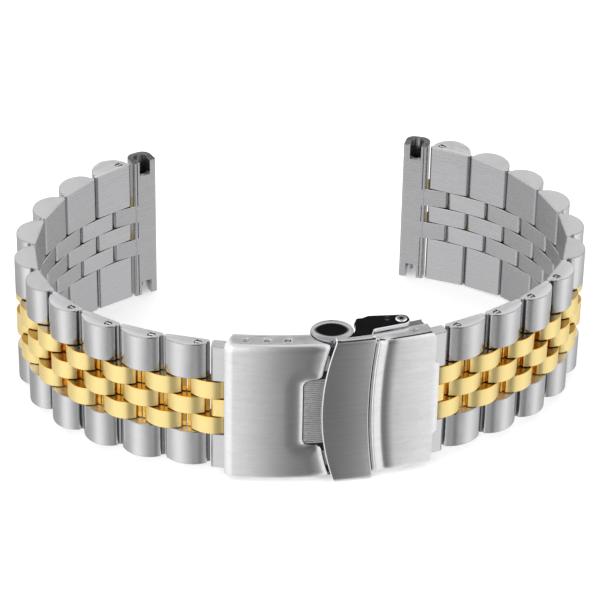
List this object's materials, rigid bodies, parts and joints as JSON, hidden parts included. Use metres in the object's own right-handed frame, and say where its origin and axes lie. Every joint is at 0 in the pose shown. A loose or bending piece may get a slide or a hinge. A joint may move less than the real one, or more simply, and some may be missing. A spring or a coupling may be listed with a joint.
{
  "type": "metal watch bracelet",
  "caption": "Two-tone metal watch bracelet with five columns of domed links, end bars for a watch case and a folding clasp with push buttons and a safety latch",
  "frame": {"origin": "middle of the bounding box in X and Y, on the plane the bracelet stands on", "axes": "X along the clasp, Y from the clasp to the open ends, Z across the width of the bracelet, which stands on its edge"},
  "size_m": [0.0776, 0.0518, 0.0218],
  "materials": {
    "steel_links": "steel brushed along the width, flat ends",
    "gold_links": "polished gold-tone plating",
    "end_bars": "brushed sheet, rolled",
    "clasp_steel": "brushed along the wrist, polished edges",
    "blade_steel": "plain brushed",
    "polished_steel": "polished",
    "pin_steel": "drawn wire"
  },
  "bodies": {
    "clasp_base": {"end_cover": "clasp_steel", "inner_blade": "blade_steel", "latch_pin": "pin_steel", "end_pin": "pin_steel", "far_fold_pin": "pin_steel"},
    "outer_blade": {"outer_blade": "blade_steel"},
    "hood": {"hood": "clasp_steel", "thumb_pad": "clasp_steel", "button_housing": "blade_steel", "near_fold_pin": "pin_steel", "spring_bar": "pin_steel", "button_spring_top": "pin_steel", "button_spring_bottom": "pin_steel"},
    "safety_latch": {"safety_latch": "clasp_steel"},
    "push_button_top": {"push_button_top": "polished_steel"},
    "push_button_bottom": {"push_button_bottom": "polished_steel"},
    "left_row_1": {"left_row_1": "steel_links"},
    "left_row_2": {"left_row_2": "steel_links"},
    "left_row_3": {"left_row_3": "steel_links"},
    "left_row_4": {"left_row_4": "steel_links"},
    "left_row_5": {"left_row_5": "steel_links"},
    "left_row_6": {"left_row_6": "steel_links"},
    "left_row_7": {"left_row_7": "steel_links"},
    "left_row_8": {"left_row_8": "steel_links"},
    "left_row_9": {"left_row_9": "steel_links"},
    "left_row_10": {"left_row_10": "steel_links"},
    "left_row_11": {"left_row_11": "steel_links"},
    "left_joiner_1": {"left_joiner_1": "gold_links"},
    "left_joiner_2": {"left_joiner_2": "gold_links"},
    "left_joiner_3": {"left_joiner_3": "gold_links"},
    "left_joiner_4": {"left_joiner_4": "gold_links"},
    "left_joiner_5": {"left_joiner_5": "gold_links"},
    "left_joiner_6": {"left_joiner_6": "gold_links"},
    "left_joiner_7": {"left_joiner_7": "gold_links"},
    "left_joiner_8": {"left_joiner_8": "gold_links"},
    "left_joiner_9": {"left_joiner_9": "gold_links"},
    "left_joiner_10": {"left_joiner_10": "gold_links"},
    "left_end_bar": {"left_end_bar": "end_bars"},
    "right_row_1": {"right_row_1": "steel_links"},
    "right_row_2": {"right_row_2": "steel_links"},
    "right_row_3": {"right_row_3": "steel_links"},
    "right_row_4": {"right_row_4": "steel_links"},
    "right_row_5": {"right_row_5": "steel_links"},
    "right_row_6": {"right_row_6": "steel_links"},
    "right_row_7": {"right_row_7": "steel_links"},
    "right_row_8": {"right_row_8": "steel_links"},
    "right_row_9": {"right_row_9": "steel_links"},
    "right_row_10": {"right_row_10": "steel_links"},
    "right_row_11": {"right_row_11": "steel_links"},
    "right_joiner_1": {"right_joiner_1": "gold_links"},
    "right_joiner_2": {"right_joiner_2": "gold_links"},
    "right_joiner_3": {"right_joiner_3": "gold_links"},
    "right_joiner_4": {"right_joiner_4": "gold_links"},
    "right_joiner_5": {"right_joiner_5": "gold_links"},
    "right_joiner_6": {"right_joiner_6": "gold_links"},
    "right_joiner_7": {"right_joiner_7": "gold_links"},
    "right_joiner_8": {"right_joiner_8": "gold_links"},
    "right_joiner_9": {"right_joiner_9": "gold_links"},
    "right_joiner_10": {"right_joiner_10": "gold_links"},
    "right_end_bar": {"right_end_bar": "end_bars"}
  },
  "joints": [
    {"name": "clasp_fold", "type": "hinge", "parent": "clasp_base", "child": "outer_blade", "pos_m": [-0.01144, -0.02038, 0.0109], "axis": [0, 0, -1], "range_deg": [0, 150]},
    {"name": "hood_fold", "type": "hinge", "parent": "outer_blade", "child": "hood", "pos_m": [-0.0022, -0.0231, 0.0109], "axis": [0, 0, -1], "range_deg": [-150, 0]},
    {"name": "latch_turn", "type": "hinge", "parent": "clasp_base", "child": "safety_latch", "pos_m": [0.00761, -0.02092, 0.0109], "axis": [0, 0, 1], "range_deg": [0, 55]},
    {"name": "button_top_press", "type": "slide", "parent": "hood", "child": "push_button_top", "axis": [0, 0, -1], "range_m": [0, 0.0006], "stiffness_N_per_m": 800, "deforming": ["button_spring_top"]},
    {"name": "button_bottom_press", "type": "slide", "parent": "hood", "child": "push_button_bottom", "axis": [0, 0, 1], "range_m": [0, 0.0006], "stiffness_N_per_m": 800, "deforming": ["button_spring_bottom"]},
    {"name": "left_row_1_turn", "type": "hinge", "parent": "hood", "child": "left_row_1", "pos_m": [-0.01089, -0.02306, 0.0109], "axis": [0, 0, 1], "range_deg": [-5.5, 4.5]},
    {"name": "left_joiner_1_turn", "type": "hinge", "parent": "left_row_1", "child": "left_joiner_1", "pos_m": [-0.01387, -0.02219, 0.0109], "axis": [0, 0, 1], "range_deg": [-8.71, 4.29]},
    {"name": "left_row_2_turn", "type": "hinge", "parent": "left_joiner_1", "child": "left_row_2", "pos_m": [-0.01681, -0.02121, 0.0109], "axis": [0, 0, 1], "range_deg": [-8.71, 4.29]},
    {"name": "left_joiner_2_turn", "type": "hinge", "parent": "left_row_2", "child": "left_joiner_2", "pos_m": [-0.0197, -0.0201, 0.0109], "axis": [0, 0, 1], "range_deg": [-6.78, 6.22]},
    {"name": "left_row_3_turn", "type": "hinge", "parent": "left_joiner_2", "child": "left_row_3", "pos_m": [-0.02251, -0.01879, 0.0109], "axis": [0, 0, 1], "range_deg": [-6.78, 6.22]},
    {"name": "left_joiner_3_turn", "type": "hinge", "parent": "left_row_3", "child": "left_joiner_3", "pos_m": [-0.02522, -0.01728, 0.0109], "axis": [0, 0, 1], "range_deg": [-5.1, 7.9]},
    {"name": "left_row_4_turn", "type": "hinge", "parent": "left_joiner_3", "child": "left_row_4", "pos_m": [-0.02775, -0.01549, 0.0109], "axis": [0, 0, 1], "range_deg": [-5.1, 7.9]},
    {"name": "left_joiner_4_turn", "type": "hinge", "parent": "left_row_4", "child": "left_joiner_4", "pos_m": [-0.03009, -0.01345, 0.0109], "axis": [0, 0, 1], "range_deg": [-3.75, 9.25]},
    {"name": "left_row_5_turn", "type": "hinge", "parent": "left_joiner_4", "child": "left_row_5", "pos_m": [-0.03215, -0.01114, 0.0109], "axis": [0, 0, 1], "range_deg": [-3.75, 9.25]},
    {"name": "left_joiner_5_turn", "type": "hinge", "parent": "left_row_5", "child": "left_joiner_5", "pos_m": [-0.0339, -0.00858, 0.0109], "axis": [0, 0, 1], "range_deg": [-2.8, 10.2]},
    {"name": "left_row_6_turn", "type": "hinge", "parent": "left_joiner_5", "child": "left_row_6", "pos_m": [-0.03527, -0.0058, 0.0109], "axis": [0, 0, 1], "range_deg": [-2.8, 10.2]},
    {"name": "left_joiner_6_turn", "type": "hinge", "parent": "left_row_6", "child": "left_joiner_6", "pos_m": [-0.03623, -0.00285, 0.0109], "axis": [0, 0, 1], "range_deg": [-2.31, 10.69]},
    {"name": "left_row_7_turn", "type": "hinge", "parent": "left_joiner_6", "child": "left_row_7", "pos_m": [-0.03673, 0.00021, 0.0109], "axis": [0, 0, 1], "range_deg": [-2.31, 10.69]},
    {"name": "left_joiner_7_turn", "type": "hinge", "parent": "left_row_7", "child": "left_joiner_7", "pos_m": [-0.03676, 0.00331, 0.0109], "axis": [0, 0, 1], "range_deg": [-2.31, 10.69]},
    {"name": "left_row_8_turn", "type": "hinge", "parent": "left_joiner_7", "child": "left_row_8", "pos_m": [-0.03633, 0.00638, 0.0109], "axis": [0, 0, 1], "range_deg": [-2.31, 10.69]},
    {"name": "left_joiner_8_turn", "type": "hinge", "parent": "left_row_8", "child": "left_joiner_8", "pos_m": [-0.03544, 0.00935, 0.0109], "axis": [0, 0, 1], "range_deg": [-2.8, 10.2]},
    {"name": "left_row_9_turn", "type": "hinge", "parent": "left_joiner_8", "child": "left_row_9", "pos_m": [-0.03413, 0.01216, 0.0109], "axis": [0, 0, 1], "range_deg": [-2.8, 10.2]},
    {"name": "left_joiner_9_turn", "type": "hinge", "parent": "left_row_9", "child": "left_joiner_9", "pos_m": [-0.03243, 0.01475, 0.0109], "axis": [0, 0, 1], "range_deg": [-3.75, 9.25]},
    {"name": "left_row_10_turn", "type": "hinge", "parent": "left_joiner_9", "child": "left_row_10", "pos_m": [-0.03043, 0.01711, 0.0109], "axis": [0, 0, 1], "range_deg": [-3.75, 9.25]},
    {"name": "left_joiner_10_turn", "type": "hinge", "parent": "left_row_10", "child": "left_joiner_10", "pos_m": [-0.02813, 0.0192, 0.0109], "axis": [0, 0, 1], "range_deg": [-5.1, 7.9]},
    {"name": "left_row_11_turn", "type": "hinge", "parent": "left_joiner_10", "child": "left_row_11", "pos_m": [-0.02564, 0.02104, 0.0109], "axis": [0, 0, 1], "range_deg": [-5.1, 7.9]},
    {"name": "left_end_bar_turn", "type": "hinge", "parent": "left_row_11", "child": "left_end_bar", "pos_m": [-0.02297, 0.02262, 0.0109], "axis": [0, 0, 1], "range_deg": [-2.57, 10.43]},
    {"name": "right_row_1_turn", "type": "hinge", "parent": "clasp_base", "child": "right_row_1", "pos_m": [0.01089, -0.02306, 0.0109], "axis": [0, 0, 1], "range_deg": [-4.5, 5.5]},
    {"name": "right_joiner_1_turn", "type": "hinge", "parent": "right_row_1", "child": "right_joiner_1", "pos_m": [0.01387, -0.02219, 0.0109], "axis": [0, 0, 1], "range_deg": [-4.29, 8.71]},
    {"name": "right_row_2_turn", "type": "hinge", "parent": "right_joiner_1", "child": "right_row_2", "pos_m": [0.01681, -0.02121, 0.0109], "axis": [0, 0, 1], "range_deg": [-4.29, 8.71]},
    {"name": "right_joiner_2_turn", "type": "hinge", "parent": "right_row_2", "child": "right_joiner_2", "pos_m": [0.0197, -0.0201, 0.0109], "axis": [0, 0, 1], "range_deg": [-6.22, 6.78]},
    {"name": "right_row_3_turn", "type": "hinge", "parent": "right_joiner_2", "child": "right_row_3", "pos_m": [0.02251, -0.01879, 0.0109], "axis": [0, 0, 1], "range_deg": [-6.22, 6.78]},
    {"name": "right_joiner_3_turn", "type": "hinge", "parent": "right_row_3", "child": "right_joiner_3", "pos_m": [0.02522, -0.01728, 0.0109], "axis": [0, 0, 1], "range_deg": [-7.9, 5.1]},
    {"name": "right_row_4_turn", "type": "hinge", "parent": "right_joiner_3", "child": "right_row_4", "pos_m": [0.02775, -0.01549, 0.0109], "axis": [0, 0, 1], "range_deg": [-7.9, 5.1]},
    {"name": "right_joiner_4_turn", "type": "hinge", "parent": "right_row_4", "child": "right_joiner_4", "pos_m": [0.03009, -0.01345, 0.0109], "axis": [0, 0, 1], "range_deg": [-9.25, 3.75]},
    {"name": "right_row_5_turn", "type": "hinge", "parent": "right_joiner_4", "child": "right_row_5", "pos_m": [0.03215, -0.01114, 0.0109], "axis": [0, 0, 1], "range_deg": [-9.25, 3.75]},
    {"name": "right_joiner_5_turn", "type": "hinge", "parent": "right_row_5", "child": "right_joiner_5", "pos_m": [0.0339, -0.00858, 0.0109], "axis": [0, 0, 1], "range_deg": [-10.2, 2.8]},
    {"name": "right_row_6_turn", "type": "hinge", "parent": "right_joiner_5", "child": "right_row_6", "pos_m": [0.03527, -0.0058, 0.0109], "axis": [0, 0, 1], "range_deg": [-10.2, 2.8]},
    {"name": "right_joiner_6_turn", "type": "hinge", "parent": "right_row_6", "child": "right_joiner_6", "pos_m": [0.03623, -0.00285, 0.0109], "axis": [0, 0, 1], "range_deg": [-10.69, 2.31]},
    {"name": "right_row_7_turn", "type": "hinge", "parent": "right_joiner_6", "child": "right_row_7", "pos_m": [0.03673, 0.00021, 0.0109], "axis": [0, 0, 1], "range_deg": [-10.69, 2.31]},
    {"name": "right_joiner_7_turn", "type": "hinge", "parent": "right_row_7", "child": "right_joiner_7", "pos_m": [0.03676, 0.00331, 0.0109], "axis": [0, 0, 1], "range_deg": [-10.69, 2.31]},
    {"name": "right_row_8_turn", "type": "hinge", "parent": "right_joiner_7", "child": "right_row_8", "pos_m": [0.03633, 0.00638, 0.0109], "axis": [0, 0, 1], "range_deg": [-10.69, 2.31]},
    {"name": "right_joiner_8_turn", "type": "hinge", "parent": "right_row_8", "child": "right_joiner_8", "pos_m": [0.03544, 0.00935, 0.0109], "axis": [0, 0, 1], "range_deg": [-10.2, 2.8]},
    {"name": "right_row_9_turn", "type": "hinge", "parent": "right_joiner_8", "child": "right_row_9", "pos_m": [0.03413, 0.01216, 0.0109], "axis": [0, 0, 1], "range_deg": [-10.2, 2.8]},
    {"name": "right_joiner_9_turn", "type": "hinge", "parent": "right_row_9", "child": "right_joiner_9", "pos_m": [0.03243, 0.01475, 0.0109], "axis": [0, 0, 1], "range_deg": [-9.25, 3.75]},
    {"name": "right_row_10_turn", "type": "hinge", "parent": "right_joiner_9", "child": "right_row_10", "pos_m": [0.03043, 0.01711, 0.0109], "axis": [0, 0, 1], "range_deg": [-9.25, 3.75]},
    {"name": "right_joiner_10_turn", "type": "hinge", "parent": "right_row_10", "child": "right_joiner_10", "pos_m": [0.02813, 0.0192, 0.0109], "axis": [0, 0, 1], "range_deg": [-7.9, 5.1]},
    {"name": "right_row_11_turn", "type": "hinge", "parent": "right_joiner_10", "child": "right_row_11", "pos_m": [0.02564, 0.02104, 0.0109], "axis": [0, 0, 1], "range_deg": [-7.9, 5.1]},
    {"name": "right_end_bar_turn", "type": "hinge", "parent": "right_row_11", "child": "right_end_bar", "pos_m": [0.02297, 0.02262, 0.0109], "axis": [0, 0, 1], "range_deg": [-10.43, 2.57]}
  ],
  "couplings": [
    {"joint": "hood_fold", "follows": "clasp_fold", "ratio": -1}
  ]
}
